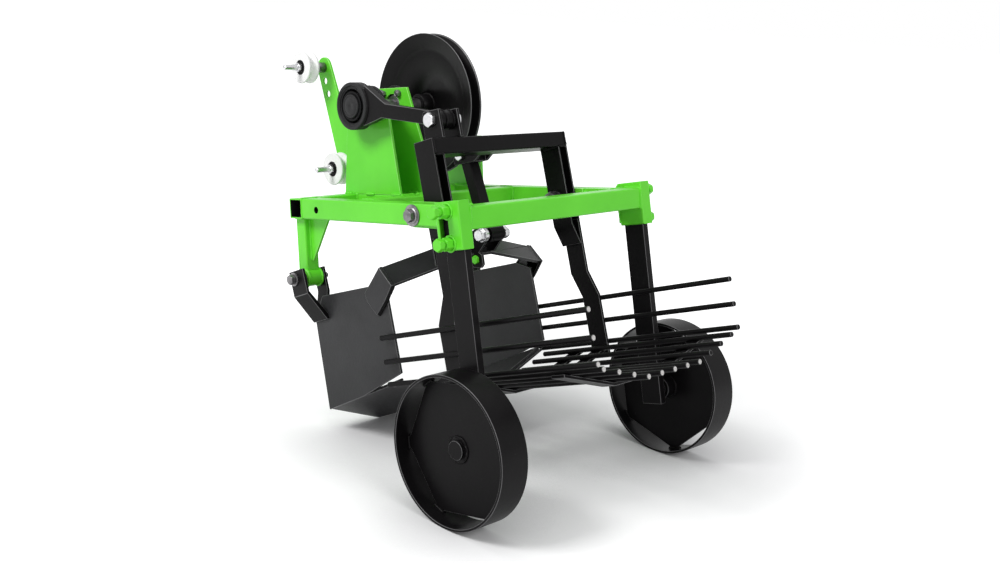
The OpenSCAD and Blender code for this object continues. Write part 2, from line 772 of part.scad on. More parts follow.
// A flat bar bent over the share, with feet that lie on the outside of the side plates
module share_arch() {
    x1 = share_w / 2 + arch_t / 2;
    f = arch_flat / 2;
    t = arch_t / 2;
    h = arch_rise;
    color(black) stand() {
        at(arch_c, arch_lean) translate([0, 0, -arch_w / 2]) linear_extrude(arch_w)
            polygon([[-x1, -t], [-f, h - t], [f, h - t], [x1, -t], [x1, t], [f, h + t],
                [-f, h + t], [-x1, t]]);
        both() plate_x(share_w / 2, arch_t) translate(arch_c) polygon([[-13, 20], [-59, -33],
            [-53, -49], [-25, -73], [0, -44], [22, -12]]);
    }
}
// A point on the middle of the arch: n above its mid plane, w towards its upper edge
function on_arch(n, w) = place(arch_c, arch_lean, [arch_rise + n, w]);
module arch_ear(x, lug) {
    t = arch_t / 2;
    w = arch_w / 2 - 1;
    color(black) stand() plate_x(x, tower_t) difference() {
        polygon(concat([on_arch(0, w), on_arch(t, w), [334, -60], [352, -62], [361, -78]], lug));
        translate(link_low) circle(d = link_bolt_d + 2 * hole_fit);
        translate(tie) circle(d = tie_d + 2 * hole_fit);
        translate(arch_c) rotate(arch_lean) translate([arch_rise, 0])
            square([arch_t, arch_w], center = true);
    }
}
// The left ear reaches below the arch and carries a short bolt there
module arch_ears() {
    w = arch_w / 2;
    arch_ear(ear_in, [[331, -112], [339, -116], [342, -135], [336, -142], [314, -142],
        [304, -130], on_arch(-arch_t / 2, 10 - w), on_arch(0, 10 - w)]);
    arch_ear(-ear_in - tower_t, [[329, -113], on_arch(arch_t / 2, 1 - w), on_arch(0, 1 - w)]);
}
// A bolt whose head sits against x1 and whose nut sits against x0
module cross_bolt(x0, x1, d) {
    pin_x(x0 - nut_h(d) - 3, x1, d);
    hex_x(x1, head_h(d), head_af(d));
    difference() {
        hex_x(x0 - nut_h(d), nut_h(d), head_af(d));
        pin_x(x0 - nut_h(d) - 1, x0, d);
    }
}
module link_bolt() {
    x = ear_in + tower_t;
    color(zinc) stand() {
        at(link_low) cross_bolt(-x, x + 9, link_bolt_d);
        at(link_low) ring_x(x, x + 9, 2 * link_bolt_d, link_bolt_d + 2 * hole_fit);
        at(tie) cross_bolt(ear_in, x, tie_d);
    }
}
// Bent cheeks on both sides of each hinge bush, welded to the side plates
module share_hangers() {
    lean = 15;
    t = 6;
    front = -14;
    in1 = bush_x0 - gap;
    in0 = in1 - t;
    out0 = bush_x1 + 17;
    out1 = out0 + t;
    plate_in = share_w / 2 - side_t;
    plate_out = share_w / 2;
    d = hanger_bolt_d + 2 * hole_fit;
    color(black) stand() both() at(hanger, lean) {
        difference() {
            bar_y(front, 48) polygon([[out0, 16], [out1, 16], [out1, -35], [plate_out + t, -92],
                [plate_out, -92], [plate_out, -82], [out0, -31]]);
            pin_x(out0 - 1, out1 + 1, d);
        }
        difference() {
            bar_y(front, 34) polygon([[in0, 16], [in1, 16], [in1, -31], [plate_in, -70],
                [plate_in, -80], [plate_in - t, -80], [in0, -35]]);
            pin_x(in0 - 1, in1 + 1, d);
        }
        ring_x(bush_x1 + gap, out0, hanger_bolt_d + 10, d);
    }
}
module hanger_bolts() {
    d = hanger_bolt_d;
    x0 = bush_x0 - gap - 6;
    x1 = bush_x1 + 23;
    color(zinc) stand() both() at(hanger) {
        pin_x(x0 - nut_h(d) - 3, x1 + washer_t, d);
        ring_x(x1, x1 + washer_t, 2 * d, d);
        hex_x(x1 + washer_t, head_h(d), head_af(d));
        difference() {
            hex_x(x0 - nut_h(d), nut_h(d), head_af(d));
            pin_x(x0 - nut_h(d) - 1, x0, d);
        }
    }
}

// Link between the swing frame and the share

// A square tube with a barrel at each end; the lower barrel sits behind the tube's end
module link() {
    foot = link_low - [link_set, 0];
    lean = atan2(foot.x - link_top.x, link_top.y - foot.y);
    l = norm(foot - link_top);
    s = link_s / 2;
    low_r = link_bolt_d / 2 + 8;
    color(black) stand() difference() {
        union() {
            at(link_top, lean) {
                pin_x(-s, s, 2 * s);
                difference() {
                    plate_x(-s, 2 * s) polygon([[-s, -s * 0.7], [s, -s * 0.7], [s, -l],
                        [s - 3, -l - 4], [-2, -l - 6], [-s, 6 - l]]);
                    box(3 - s, s - 3, 3 - s, s - 3, 20 - l, 1 - s * 0.7);
                }
            }
            at(link_low) pin_x(gap - ear_in, ear_in - gap, 2 * low_r);
        }
        at(link_top) pin_x(-s - 1, s + 1, link_pin_d + 2 * run_fit);
        at(link_low) pin_x(-ear_in, ear_in, link_bolt_d + 2 * loose_fit);
    }
}

// Wheels: each post carries its axle, and the rim, web and hub turn on it

module post(s) {
    color(black) stand() left_or_right(s) at(sleeve_corner, post_lean) {
        box(post_x0, post_x1, post_u0, post_u1, -axle_drop - post_foot, sleeve_up);
        at([post_mid, -axle_drop]) {
            pin_x(post_x1, hub_x1 + cap_h - 1, axle_d);
            ring_x(post_x1, hub_x0 - gap, axle_d + 12, axle_d);
            difference() {
                pin_x(hub_x1 + gap, hub_x1 + cap_h, hub_d - 10);
                pin_x(hub_x1, hub_x1 + cap_h - 1, axle_d);
            }
        }
    }
}
module post_left() { post(1); }
module post_right() { post(-1); }
module wheel(s, angle) {
    color(black) stand() left_or_right(s) at(wheel_c) {
        difference() {
            union() {
                ring_x(wheel_x0, wheel_x1, wheel_d, 2 * rim_in);
                plate_x(web_x0, web_t) intersection() {
                    circle(r = rim_in);
                    polygon([for (k = [0 : 5]) (rim_in + 2) * [cos(angle + 60 * k),
                        sin(angle + 60 * k)]]);
                }
                pin_x(hub_x0, hub_x1, hub_d);
            }
            pin_x(hub_x0 - 1, hub_x1 + 1, axle_d + 2 * run_fit);
        }
    }
}
module wheel_left() { wheel(1, 4); }
module wheel_right() { wheel(-1, 37); }

front_cross_tube();
side_beam_left();
side_beam_right();
rear_cross_beam();
mid_cross_tube();
tower_rails();
pivot_doublers();
front_legs();
front_leg_gussets();
hanger_bushes();
post_sleeves();
sleeve_bolts();
sleeve_nuts();
tower_near_plate();
tower_far_plate();
tower_web();
guard_plate();
bearing_housings();
bearing_bolts();
swing_pivot_bolts();
tension_arm();
roller_bolts();
roller_spacers();
drive_shaft();
bearing_inner_rings();
eccentric();
big_end_inner_ring();
eccentric_cap();
pulley();
pulley_hub();
conrod();
big_end_housing();
big_end_outer_ring();
small_end_bush();
swing_legs();
swing_crossbar();
swing_pivot_bushes();
small_end_ears();
small_end_bolt();
link_bracket();
link_pin();
sieve_legs();
side_rods();
bottom_rods();
sieve_bars();
share_sides();
share_blade();
share_comb();
share_arch();
arch_ears();
link_bolt();
share_hangers();
hanger_bolts();
link();
post_left();
wheel_left();
post_right();
wheel_right();
upper_roller();
lower_roller();
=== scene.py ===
import bmesh
import bpy
import json
from math import atan2, cos, degrees, pi, radians, sin
from mathutils import Matrix, Vector


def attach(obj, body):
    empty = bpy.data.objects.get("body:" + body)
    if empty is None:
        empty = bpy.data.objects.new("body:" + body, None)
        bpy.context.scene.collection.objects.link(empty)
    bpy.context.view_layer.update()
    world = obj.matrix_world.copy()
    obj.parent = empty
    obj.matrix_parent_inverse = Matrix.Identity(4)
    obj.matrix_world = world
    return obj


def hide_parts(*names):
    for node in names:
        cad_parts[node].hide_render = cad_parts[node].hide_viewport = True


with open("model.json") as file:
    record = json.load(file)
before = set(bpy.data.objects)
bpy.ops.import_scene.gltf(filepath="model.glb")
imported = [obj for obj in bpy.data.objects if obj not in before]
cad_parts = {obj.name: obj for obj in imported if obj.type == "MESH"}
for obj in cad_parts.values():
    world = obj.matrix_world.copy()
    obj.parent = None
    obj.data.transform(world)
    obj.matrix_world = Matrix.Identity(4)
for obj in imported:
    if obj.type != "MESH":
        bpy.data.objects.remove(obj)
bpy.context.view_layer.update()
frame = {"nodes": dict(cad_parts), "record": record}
CAD = frame["nodes"]
BODY = {n: b for b, ns in frame["record"]["behaviour"]["bodies"].items() for n in ns}

# Sizes from the source, in mm, with the frame level: x = 0 at mid width, y = 0 at the front face
# of the front tube, z = 0 at the top of the frame. STAND carries them into the row frame.
TIP = 7.86932           # the whole machine stands nose down by this angle
ORIGIN = (0, -0.303799, 0.461458)       # the level origin in the row frame, in m
STAND = (Matrix.Translation(ORIGIN) @ Matrix.Rotation(radians(TIP), 4, "X")
         @ Matrix.Scale(0.001, 4))
MIRROR = Matrix.Scale(-1, 4, (1, 0, 0))

# Pivots and axes as (y, z)
BIG_END = (91.5, 178)
SMALL_END = (351.027, 145.856)
SHAFT = (88, 178)
SWING = (376, -21)
HANGER = (20, -161)
LINK_TOP = (285.243, 74.954)
LINK_LOW = (349, -76.5)
TIE = (324, -126)
UPPER_PIN = (-137, 266)
LOWER_PIN = (-43, 50)
WHEEL = (544.201, -405.789)
ARCH = (262, -145)      # where the arch's feet sit on the side plates

# Angles about X, in degrees
POST_LEAN = 6.1
SWING_LEAN = 11.4
SIEVE_SLOPE = 11.3
ARCH_LEAN = 49.3

# Spans along one axis, and single sizes
HALF_W = 227            # outer faces of the side beams
BEAM_IN = 187           # their inner faces
FRAME_L = 530
TUBE = 40
MID_TUBE = (182, 222)
RAILS = (16, 56)        # right-hand faces of the two rails that carry the tower
RAIL = 30
NEAR_PLATE = (80, 86)   # the tower's plates
FAR_PLATE = (16, 22)
GUARD = (-210, -204)    # the upright plate on the right side beam
LEG = (184, 214)        # front leg, and the gusset behind it
GUSSET = (196, 202)
WHEEL_WEB = (286.6, 292.4)              # the beads lie on its two faces
RIM_R = 128.2
POST_MID = -29          # middle of the post, from the sleeve's corner
CLAMPS = (-4, -59)      # heights of the clamp bolts
CLAMP_HEADS = (284.3, 279.3)            # where their heads start, along X
BEARING_BOLT_R = 33.2
RODS_CUT_TO = -0.08     # in m: the bottom rods to the right of this have painted ends
TOWER_H = 213
TOWER_LEAN = 28         # the tower's front edge falls back this far over its height
# Outline of the arch's foot round ARCH
FOOT = [(-13, 20), (-59, -33), (-53, -49), (-25, -73), (0, -44), (22, -12)]


def at(p, lean=0):
    """A frame whose origin is p = (y, z) and which leans about X."""
    return Matrix.Translation((0, p[0], p[1])) @ Matrix.Rotation(radians(lean), 4, "X")


def both(m):
    """The left placing and its mirror image."""
    return [STAND @ m, STAND @ MIRROR @ m]


SLEEVE = at((FRAME_L, 0), POST_LEAN)


# Materials

PATCH_FROM, PATCH_TO = 0.32, 0.70       # where the noise starts and ends to change the colour
SPECK_FROM, SPECK_TO = 0.66, 0.78
SPECK_SCALE, PEEL_SCALE, ROUGH_SCALE = 260, 140, 38
GRAIN_DEPTH, PEEL_DEPTH = 0.0004, 0.0012


def material(name, dark, light, rough, metallic=0.0, spec=0.5, patch=6.0, grain=900.0, bump=0.12,
             peel=0.0, rough_var=0.06, coat=0.0, streak=None, specks=0.0):
    """A finish whose colour wanders between dark and light, with a fine grain in its bump.

    peel adds the soft waves of a powder coat, specks its lighter dust, and streak stretches the
    noise along one axis."""
    m = bpy.data.materials.new(name)
    m.use_nodes = True
    nt = m.node_tree
    bsdf = nt.nodes["Principled BSDF"]
    new = nt.nodes.new
    link = nt.links.new
    where = new("ShaderNodeTexCoord").outputs["Object"]
    if streak:
        mp = new("ShaderNodeMapping")
        mp.inputs["Scale"].default_value = streak
        link(where, mp.inputs["Vector"])
        along = mp.outputs["Vector"]
    else:
        along = where

    def noise(scale, detail, rough_n, vector=along):
        n = new("ShaderNodeTexNoise")
        n.inputs["Scale"].default_value = scale
        n.inputs["Detail"].default_value = detail
        n.inputs["Roughness"].default_value = rough_n
        link(vector, n.inputs["Vector"])
        return n.outputs["Fac"]

    ramp = new("ShaderNodeValToRGB")
    ramp.color_ramp.elements[0].position = PATCH_FROM
    ramp.color_ramp.elements[1].position = PATCH_TO
    ramp.color_ramp.elements[0].color = (*dark, 1)
    ramp.color_ramp.elements[1].color = (*light, 1)
    link(noise(patch, 5, 0.55), ramp.inputs["Fac"])
    colour = ramp.outputs["Color"]
    if specks:
        sp = new("ShaderNodeValToRGB")
        sp.color_ramp.elements[0].position = SPECK_FROM
        sp.color_ramp.elements[1].position = SPECK_TO
        sp.color_ramp.elements[0].color = (0, 0, 0, 1)
        sp.color_ramp.elements[1].color = (specks, specks, specks, 1)
        link(noise(SPECK_SCALE, 3, 0.7, where), sp.inputs["Fac"])
        mix = new("ShaderNodeMix")
        mix.data_type = "RGBA"
        mix.blend_type = "SCREEN"
        mix.inputs["Factor"].default_value = 1
        link(colour, mix.inputs["A"])
        link(sp.outputs["Color"], mix.inputs["B"])
        colour = mix.outputs["Result"]
    link(colour, bsdf.inputs["Base Color"])
    rr = new("ShaderNodeMapRange")
    rr.inputs["To Min"].default_value = max(0.02, rough - rough_var)
    rr.inputs["To Max"].default_value = rough + rough_var
    link(noise(ROUGH_SCALE, 4, 0.6), rr.inputs["Value"])
    link(rr.outputs["Result"], bsdf.inputs["Roughness"])
    bsdf.inputs["Metallic"].default_value = metallic
    bsdf.inputs["Specular IOR Level"].default_value = spec
    bsdf.inputs["Coat Weight"].default_value = coat
    bsdf.inputs["Coat Roughness"].default_value = 0.12
    b1 = new("ShaderNodeBump")
    b1.inputs["Strength"].default_value = bump
    b1.inputs["Distance"].default_value = GRAIN_DEPTH
    link(noise(grain, 2, 0.5), b1.inputs["Height"])
    if peel:
        b2 = new("ShaderNodeBump")
        b2.inputs["Strength"].default_value = peel
        b2.inputs["Distance"].default_value = PEEL_DEPTH
        link(noise(PEEL_SCALE, 2, 0.4, where), b2.inputs["Height"])
        link(b1.outputs["Normal"], b2.inputs["Normal"])
        link(b2.outputs["Normal"], bsdf.inputs["Normal"])
    else:
        link(b1.outputs["Normal"], bsdf.inputs["Normal"])
    return m


GREEN = material("green_powder_coat", (0.110, 0.62, 0.024), (0.145, 0.73, 0.036), 0.34, spec=0.26,
                 grain=1300, bump=0.10, peel=0.10, coat=0.08)
# Lighter green for the bevels: a painted highlight along the edges
GREEN_HIGHLIGHT = material("green_edge_highlight", (0.26, 0.80, 0.12), (0.36, 0.90, 0.20), 0.34, spec=0.5,
                      grain=1300, bump=0.08)
BLACK = material("black_powder_coat", (0.0034, 0.0030, 0.0034), (0.0068, 0.0062, 0.0067), 0.34,
                 spec=0.085, grain=1500, bump=0.14, peel=0.10, specks=0.02)
# Lighter black for the bevels: a painted highlight along the edges
BLACK_HIGHLIGHT = material("black_edge_highlight", (0.055, 0.054, 0.056), (0.135, 0.133, 0.137), 0.34, spec=0.45,
                      grain=1500, bump=0.10)
PLATE = material("black_plate_coat", (0.0130, 0.0130, 0.0140), (0.0240, 0.0240, 0.0255), 0.42,
                 spec=0.22, patch=9, grain=1500, bump=0.16, peel=0.14, specks=0.03)
CAST = material("black_cast_coat", (0.0080, 0.0080, 0.0086), (0.0190, 0.0190, 0.0200), 0.55,
                spec=0.20, patch=40, grain=700, bump=0.45, peel=0.2, specks=0.04)
# Dark finish of the seals and bearings; the same finish is painted shade inside the open tubes of
# the frame
DARK = material("dark_seal_and_painted_shade", (0.0040, 0.0040, 0.0044), (0.0075, 0.0075, 0.0080), 0.60,
                spec=0.10, grain=900, bump=0.2)
ZINC = material("zinc_plate", (0.50, 0.50, 0.52), (0.72, 0.72, 0.73), 0.30, metallic=1.0,
                patch=60, grain=2200, bump=0.08, rough_var=0.10)
DULL = material("dull_zinc_plate", (0.13, 0.125, 0.13), (0.27, 0.265, 0.27), 0.44, metallic=1.0,
                patch=80, grain=2000, bump=0.14, rough_var=0.12)
CUT = material("sawn_steel", (0.34, 0.33, 0.32), (0.62, 0.61, 0.60), 0.38, metallic=1.0,
               patch=200, grain=2400, bump=0.30, streak=(1, 1, 6))
NYLON = material("white_nylon", (0.80, 0.80, 0.79), (0.88, 0.88, 0.87), 0.42, spec=0.4,
                 patch=30, grain=1200, bump=0.10, rough_var=0.08)
# The thin bevel on a plate's edges is lighter: a painted highlight, standing in for the light that
# the edges catch
EDGE_HIGHLIGHT = {GREEN: GREEN_HIGHLIGHT, BLACK: BLACK_HIGHLIGHT, PLATE: BLACK_HIGHLIGHT}


# Mesh making

SHARP = 28              # degrees from which an edge gets a bevel


def lathe(bm, m, prof, seg=72, closed=False):
    """A form turned about X from (x, radius) points."""
    rings = []
    for x, r in prof:
        n = seg if r > 1e-6 else 1
        turns = [2 * pi * i / n for i in range(n)]
        rings.append([bm.verts.new(m @ Vector((x, r * cos(a), r * sin(a)))) for a in turns])
    pairs = list(zip(rings, rings[1:])) + ([(rings[-1], rings[0])] if closed else [])
    skin(bm, pairs, seg)


def skin(bm, pairs, seg):
    """Faces between each pair of rings; a ring of one point closes to a cone."""
    for a, b in pairs:
        for i in range(seg):
            q = []
            for v in (a[i % len(a)], a[(i + 1) % len(a)], b[(i + 1) % len(b)], b[i % len(b)]):
                if v not in q:
                    q.append(v)
            if len(q) > 2:
                bm.faces.new(q)


def hexagon(bm, m, x, h, af, bore=0, both_ends=False, out=1):
    """A hexagon head or nut with turned chamfers; out is the side that its top faces."""
    seg = 72
    flat = 0.475 * af                   # radius of the flat top inside the chamfer
    angles = [2 * pi * i / seg for i in range(seg)]
    across = [af / 2 / cos(((a + pi / 6) % (pi / 3)) - pi / 6) for a in angles]
    drop = [(r - flat) * 0.55 + 0.15 for r in across]

    def ring(r, z):
        rs = r if isinstance(r, list) else [r] * seg
        zs = z if isinstance(z, list) else [z] * seg
        return [bm.verts.new(m @ Vector((x + out * zi, ri * cos(a), ri * sin(a))))
                for zi, ri, a in zip(zs, rs, angles)]

    rings = []
    if both_ends:
        rings += [ring(flat, 0), ring(across, drop)]
    else:
        rings += [ring(flat * 0.99, 0), ring(flat, 0.5), ring(across, 0.5)]
    rings += [ring(across, [h - d for d in drop]), ring(flat, h)]
    if bore:
        rings += [ring(bore / 2 + 0.9, h), ring(bore / 2, h - 0.9), ring(bore / 2, 0)]
        skin(bm, list(zip(rings, rings[1:])) + [(rings[-1], rings[0])], seg)
    else:
        rings += [ring(flat * 0.72, h - 0.25)]
        skin(bm, list(zip(rings, rings[1:])), seg)
        bm.faces.new(rings[-1])
        bm.faces.new(list(reversed(rings[0])))


def stud(bm, m, x0, x1, d, thread=0.0, pitch=2.0, tip=1.4):
    """A round bar from x0 to x1 whose end at x1 is threaded over a length and chamfered."""
    s = 1 if x1 > x0 else -1
    length = abs(x1 - x0)
    r = d / 2
    prof = [(x0, 0), (x0, r)]
    a = length - thread
    if thread:
        prof.append((x0 + s * (a - 0.6), r))
        n = max(1, int((thread - tip) / pitch))
        step = (thread - tip) / n
        for k in range(n):
            b = a + k * step
            prof += [(x0 + s * (b + 0.12 * step), r - 0.30 * pitch),
                     (x0 + s * (b + 0.5 * step), r - 0.02),
                     (x0 + s * (b + 0.62 * step), r - 0.02)]
    prof += [(x0 + s * (length - tip), r - (0.3 * pitch if thread else 0)),
             (x0 + s * length, r - tip), (x0 + s * length, 0)]
    lathe(bm, m, prof, 40)


def washer(bm, m, x0, x1, d, bore):
    """A ring from x0 to x1 with its outer edges chamfered."""
    c = 0.5
    lathe(bm, m, [(x0, bore / 2), (x0, d / 2 - c), (x0 + c, d / 2), (x1 - c, d / 2),
                  (x1, d / 2 - c), (x1, bore / 2)], 72, True)


def bead(bm, m, pts, r=2.6, closed=False, pitch=3.4):
    """A weld bead along a path in mm: a half-buried rope with the ripple of each weld pool."""
    path = [Vector(p) for p in pts]
    if closed:
        path.append(path[0])
    line = []
    for a, b in zip(path, path[1:]):
        n = max(1, int((b - a).length / 1.1))
        line += [a.lerp(b, k / n) for k in range(n)]
    if not closed:
        line.append(path[-1])
    for _ in range(2):
        line = [p if (not closed and i in (0, len(line) - 1)) else
                (line[i - 1] + p * 2 + line[(i + 1) % len(line)]) / 4 for i, p in enumerate(line)]
    seg = 9
    rings = []
    s = 0.0
    for i, p in enumerate(line):
        nxt = line[(i + 1) % len(line)] if closed or i + 1 < len(line) else p
        prv = line[i - 1] if closed or i else p
        t = (nxt - prv).normalized()
        side = t.cross(Vector((0.21, 0.33, 0.92)) if abs(t.z) < 0.8 else Vector((0.9, 0.3, 0.1)))
        side.normalize()
        up = side.cross(t)
        wob = 1 + 0.10 * sin(s * 0.19 + 1.3 * pts[0][0]) + 0.06 * sin(s * 0.53)
        end = 1.0
        if not closed:
            end = min(1.0, 0.45 + 0.25 * min(i, len(line) - 1 - i))
        ring = []
        for k in range(seg):
            a = 2 * pi * k / seg
            ph = ((s - 0.5 * r * cos(a)) / pitch) % 1.0
            rr = r * wob * end * (0.90 + 0.16 * (ph if ph < 0.8 else (1 - ph) * 4))
            ring.append(bm.verts.new(m @ (p + side * (rr * cos(a)) + up * (rr * sin(a)))))
        rings.append(ring)
        s += (nxt - p).length
    pairs = list(zip(rings, rings[1:])) + ([(rings[-1], rings[0])] if closed else [])
    skin(bm, pairs, seg)
    if not closed:
        bm.faces.new(rings[0])
        bm.faces.new(rings[-1])


def circle(x, r, n=40, start=0, end=360):
    """Points of an arc about X, or of a whole circle without its last point."""
    turns = [radians(start + (end - start) * k / n) for k in range(n + (end - start < 360))]
    return [(x, r * cos(a), r * sin(a)) for a in turns]


def rect(axis, c, a0, a1, b0, b1, g=0.6):
    """A rectangle round a tube's end in the plane axis = c, in that plane's other two axes."""
    q = [(a0 - g, b0 - g), (a1 + g, b0 - g), (a1 + g, b1 + g), (a0 - g, b1 + g)]
    return [{"x": (c, a, b), "y": (a, c, b), "z": (a, b, c)}[axis] for a, b in q]


def finish(name, bm, body, mats, replaces=(), width=0.6, segments=2, weighted=False, edge_highlight=None):
    """The bmesh as a piece with softened edges, riding on its body.

    A weighted mesh brings its own bevel weights and face directions. The bevel's own finish, when
    given, is lighter: a painted highlight along the edges."""
    if not weighted:
        bmesh.ops.recalc_face_normals(bm, faces=bm.faces)
    for f in bm.faces:
        f.smooth = True
    me = bpy.data.meshes.new(name)
    bm.to_mesh(me)
    bm.free()
    for mt in mats:
        me.materials.append(mt)
    o = bpy.data.objects.new(name, me)
    bpy.context.scene.collection.objects.link(o)
    if width:
        bv = o.modifiers.new("edges", "BEVEL")
        bv.width = width / 1000
        bv.segments = segments
        bv.limit_method = "WEIGHT" if weighted else "ANGLE"
        bv.angle_limit = radians(SHARP)
        bv.use_clamp_overlap = False
        bv.miter_outer = "MITER_ARC"
        # The bevel's faces get the lighter finish: a painted highlight along the edges
        if edge_highlight:
            me.materials.append(edge_highlight)
            bv.material = len(me.materials) - 1
        wn = o.modifiers.new("normals", "WEIGHTED_NORMAL")
        wn.keep_sharp = True
    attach(o, body)
    if replaces:
        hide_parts(*replaces)


def dress(node, mat, width=0.9, rolled=0.0, long_edge=60, segments=2, cut=None, cut_x=0.0,
          inside=None):
    """The CAD node's own shape with softened edges; a tube's long outer edges are rolled round.

    Small faces that look along cut and lie to the left of cut_x (m) are bare sawn steel. Faces
    whose middle passes the test inside (a point in level mm) get painted shade: the dark seal
    finish stands in for the shadow inside a tube."""
    bm = bmesh.new()
    bm.from_mesh(CAD[node].data)
    bmesh.ops.remove_doubles(bm, verts=bm.verts, dist=2e-6)
    bmesh.ops.dissolve_limit(bm, angle_limit=radians(0.7), verts=bm.verts, edges=bm.edges)
    top = max(width, rolled)
    layer = bm.edges.layers.float.get("bevel_weight_edge") or bm.edges.layers.float.new(
        "bevel_weight_edge")
    for e in bm.edges:
        angle = e.calc_face_angle_signed(0)
        if len(e.link_faces) != 2 or abs(angle) < radians(26):
            e[layer] = 0
            continue
        convex = angle > 0
        if rolled and convex and e.calc_length() * 1000 > long_edge:
            e[layer] = rolled / top
        else:
            e[layer] = (width if convex else width * 0.7) / top
    mats = [mat]
    for f in bm.faces:
        f.material_index = 0
    if cut:
        mats.append(CUT)
        way = Vector(cut)
        for f in bm.faces:
            bare = f.normal.dot(way) > 0.97 and f.calc_area() < 1.2e-4
            f.material_index = int(bare and f.calc_center_median().x > cut_x)
    # Faces inside a tube get painted shade: the dark seal finish stands in for the shadow in there
    if inside:
        mats.append(DARK)
        level = STAND.inverted()
        for f in bm.faces:
            if inside(level @ f.calc_center_median()):
                f.material_index = len(mats) - 1
    # Plain bevels get the lighter finish, a painted highlight; rolled edges keep the base colour
    finish("dressed_" + node, bm, BODY[node], mats, [node], top, segments=segments,
           weighted=True, edge_highlight=None if rolled else EDGE_HIGHLIGHT.get(mat))


# Frame, in green. Inside the tubes whose ends are open, the faces get painted shade: the dark seal
# finish stands in for the shadow in there.

WITHIN = 2              # a face this far inside a tube's outside belongs to its inner walls


def hollow(x0, x1, y0, y1):
    """A test for points in level mm inside a tube of the frame, by their spans of |x| and y."""
    return lambda c: x0 < abs(c.x) < x1 and y0 < c.y < y1 and WITHIN - TUBE < c.z < -WITHIN


dress("front_cross_tube", GREEN, 0.6, rolled=4.0, segments=4,
      inside=hollow(-1, HALF_W - 1, WITHIN, TUBE - WITHIN))
for n in ("side_beam_left", "side_beam_right"):
    dress(n, GREEN, 0.6, rolled=4.0, segments=4,
          inside=hollow(BEAM_IN + WITHIN, HALF_W - WITHIN, TUBE + 1, FRAME_L - TUBE - 1))
for n in ("rear_cross_beam", "mid_cross_tube"):
    dress(n, GREEN, 0.6, rolled=4.0, segments=4)
dress("tower_rails", GREEN, 0.6, rolled=3.2, segments=4)
dress("front_legs", GREEN, 0.6, rolled=3.2, segments=4)
dress("post_sleeves", GREEN, 0.8, rolled=3.2, segments=4)
for n in ("pivot_doublers", "front_leg_gussets", "hanger_bushes", "tower_near_plate",
          "tower_far_plate", "tower_web", "guard_plate", "tension_arm"):
    dress(n, GREEN, 0.8)

# Black parts

dress("swing_crossbar", BLACK, 0.7, rolled=3.6, segments=4)
dress("swing_legs", BLACK, 0.7)
dress("link", BLACK, 0.7, rolled=2.4, segments=3)
for n in ("small_end_ears", "link_bracket", "sieve_legs", "sieve_bars", "arch_ears",
          "share_hangers", "swing_pivot_bushes", "small_end_bush"):
    dress(n, BLACK, 0.9)
for n in ("share_sides", "share_blade", "share_comb", "share_arch"):
    dress(n, PLATE, 1.0)
dress("conrod", BLACK, 1.0, segments=3)
dress("bearing_housings", CAST, 1.2)
rod_end = (0, cos(radians(TIP + SIEVE_SLOPE)), sin(radians(TIP + SIEVE_SLOPE)))
dress("side_rods", BLACK, 0.8, cut=rod_end)
dress("bottom_rods", BLACK, 0.8, cut=rod_end, cut_x=RODS_CUT_TO)
for n in ("post_left", "post_right", "wheel_left", "wheel_right"):
    dress(n, BLACK, 0.8, segments=3)
for n in ("drive_shaft", "bearing_inner_rings"):
    dress(n, DULL, 0.6)
for n in ("eccentric", "big_end_inner_ring"):
    dress(n, CAST, 0.5)

# Fasteners. The places in each call run along X, in mm from mid width, or from the face of the
# plate for the bearings: both ends of a stud or washer, and the face that a hexagon sits on.

# Clamp bolts of the post sleeves, and their welded nuts
bm = bmesh.new()
for m in both(SLEEVE):
    for w, out in zip(CLAMPS, CLAMP_HEADS):
        c = m @ at((POST_MID, w))
        stud(bm, c, 248.6, out + 0.3, 13)
        hexagon(bm, c, out, 10, 20.5)
finish("sleeve_clamp_bolts", bm, "frame", [GREEN], ["sleeve_bolts"], 0.4)
bm = bmesh.new()
for m in both(SLEEVE):
    for w in CLAMPS:
        hexagon(bm, m @ at((POST_MID, w)), 258.3, 16.5, 20.5, bore=13.3, both_ends=True)
finish("sleeve_clamp_nuts", bm, "frame", [GREEN], ["sleeve_nuts"], 0.4)

# M20 pivot bolts of the swing frame
bm = bmesh.new()
for m in both(at(SWING)):
    stud(bm, m, 230.2, 129.7, 20, thread=24, pitch=2.5)
    washer(bm, m, HALF_W, 229.4, 40, 19)
    lathe(bm, m, [(229.2, 0), (229.2, 15), (230.2, 15), (231.6, 13), (231.6, 0)], 72)
    hexagon(bm, m, 231.4, 8.8, 21)
    hexagon(bm, m, 149.7, 16, 30, bore=19.5, both_ends=True, out=-1)
finish("swing_pivot_hex_bolts", bm, "frame", [DULL], ["swing_pivot_bolts"], 0.4)

# M16 bolt of the connecting rod's small end
bm = bmesh.new()
m = STAND @ at(SMALL_END)
stud(bm, m, 150.2, 83.2, 16, thread=15, pitch=2)
hexagon(bm, m, 150, 10.08, 24)
hexagon(bm, m, 99, 12.8, 24, bore=15.6, both_ends=True, out=-1)
finish("small_end_hex_bolt", bm, "swing_body", [ZINC], ["small_end_bolt"], 0.4)

# M12 pin at the link's top, M14 bolt at its foot, and the short M10 bolt under it
bm = bmesh.new()
m = STAND @ at(LINK_TOP)
stud(bm, m, 19.7, -32.1, 12, thread=14, pitch=1.75)
hexagon(bm, m, 19.5, 7.56, 18)
hexagon(bm, m, -19.5, 9.6, 18, bore=11.6, both_ends=True, out=-1)
finish("link_hex_pin", bm, "swing_body", [ZINC], ["link_pin"], 0.4)

